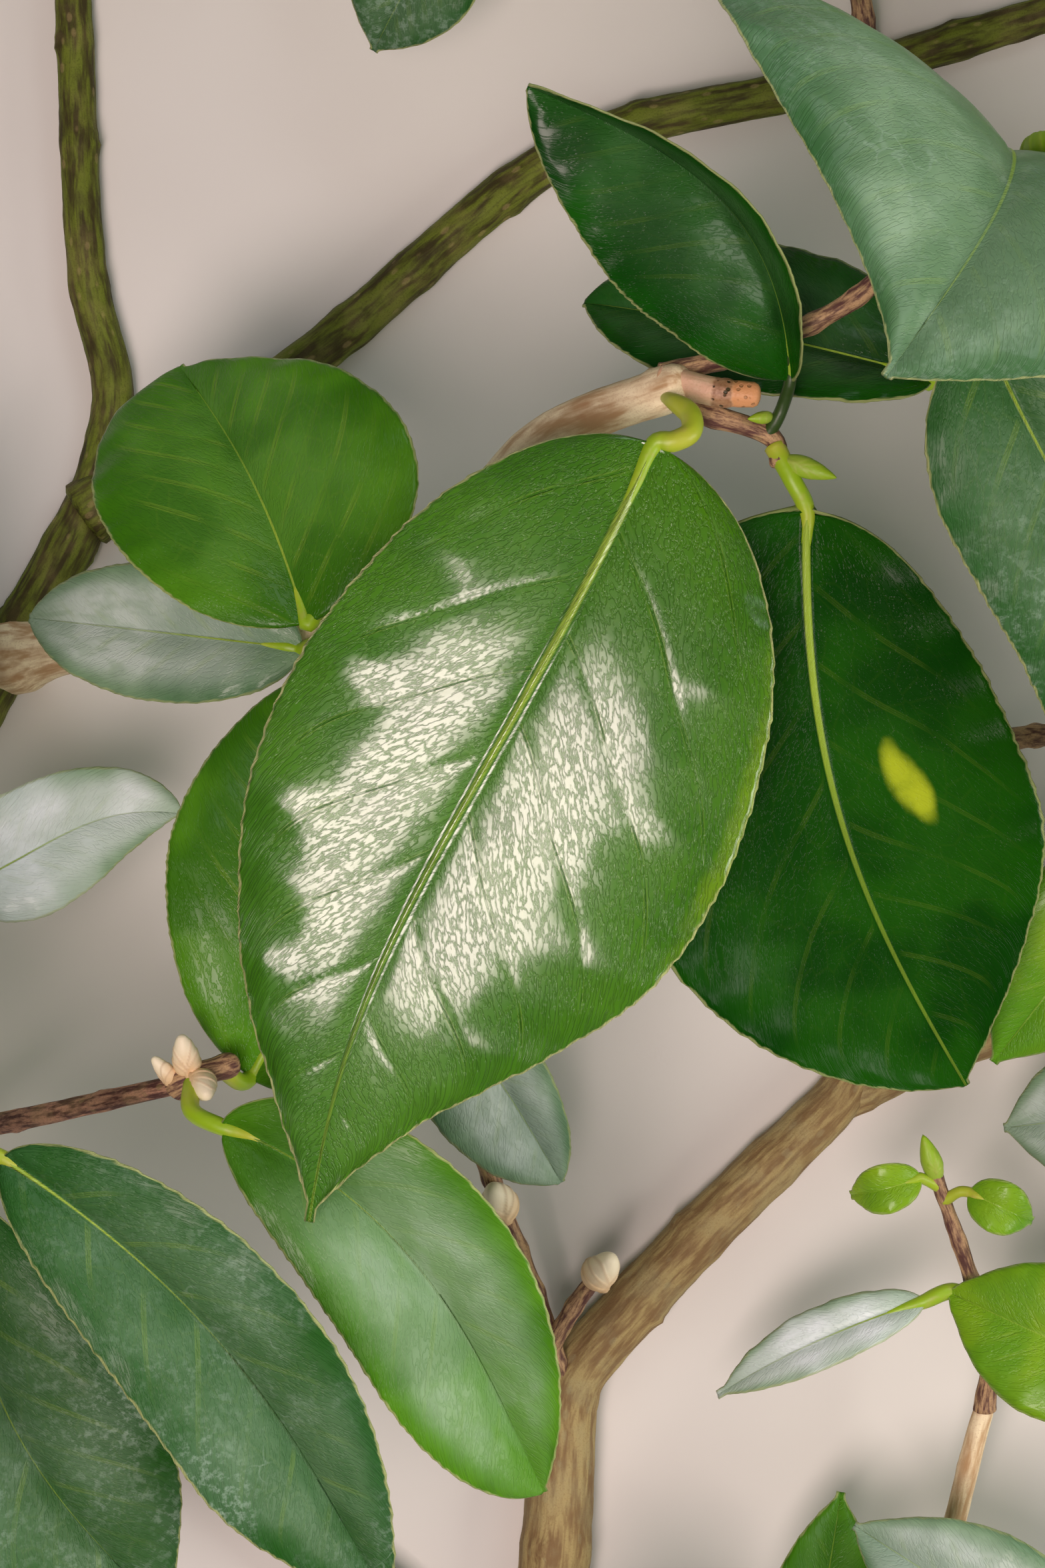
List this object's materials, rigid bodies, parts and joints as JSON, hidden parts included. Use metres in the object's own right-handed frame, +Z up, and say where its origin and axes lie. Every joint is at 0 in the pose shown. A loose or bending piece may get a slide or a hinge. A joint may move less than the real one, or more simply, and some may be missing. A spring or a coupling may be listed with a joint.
{
  "type": "camellia branch",
  "caption": "A leafy camellia branch as cut from the shrub: a forked woody stem, bare boughs and sprays of glossy toothed leaves, lying on its side.",
  "frame": {"origin": "the point of the surface that it lies on, under the middle of its box", "axes": "+Y from the cut end towards the furthest sprays, +X across, +Z up from the surface that it lies on"},
  "size_m": [0.2498, 0.2884, 0.1245],
  "materials": {
    "bark": "fine dull bark",
    "cut_wood": "bare cut wood",
    "foliage": "glossy leathery leaves with green twigs"
  },
  "bodies": {
    "root": {"main_stem": "bark", "right_bough": "bark", "right_arm": "bark", "right_leader": "bark", "left_bough_lower": "bark", "left_bough_upper": "bark", "top_left_bough": "bark", "cross_bough": "bark", "middle_bough": "bark", "pruned_stub": "cut_wood", "left_twig": "bark", "right_twig": "bark", "front_spray": "foliage", "upper_right_spray": "foliage", "round_leaf_spray": "foliage", "left_edge_spray": "foliage", "left_twig_spray": "foliage", "corner_spray": "foliage", "bud_spray": "foliage", "low_right_spray": "foliage", "bottom_right_spray": "foliage", "right_arm_spray": "foliage", "right_leader_spray": "foliage", "top_left_spray": "foliage", "top_middle_spray": "foliage", "top_right_spray": "foliage"}
  },
  "joints": []
}
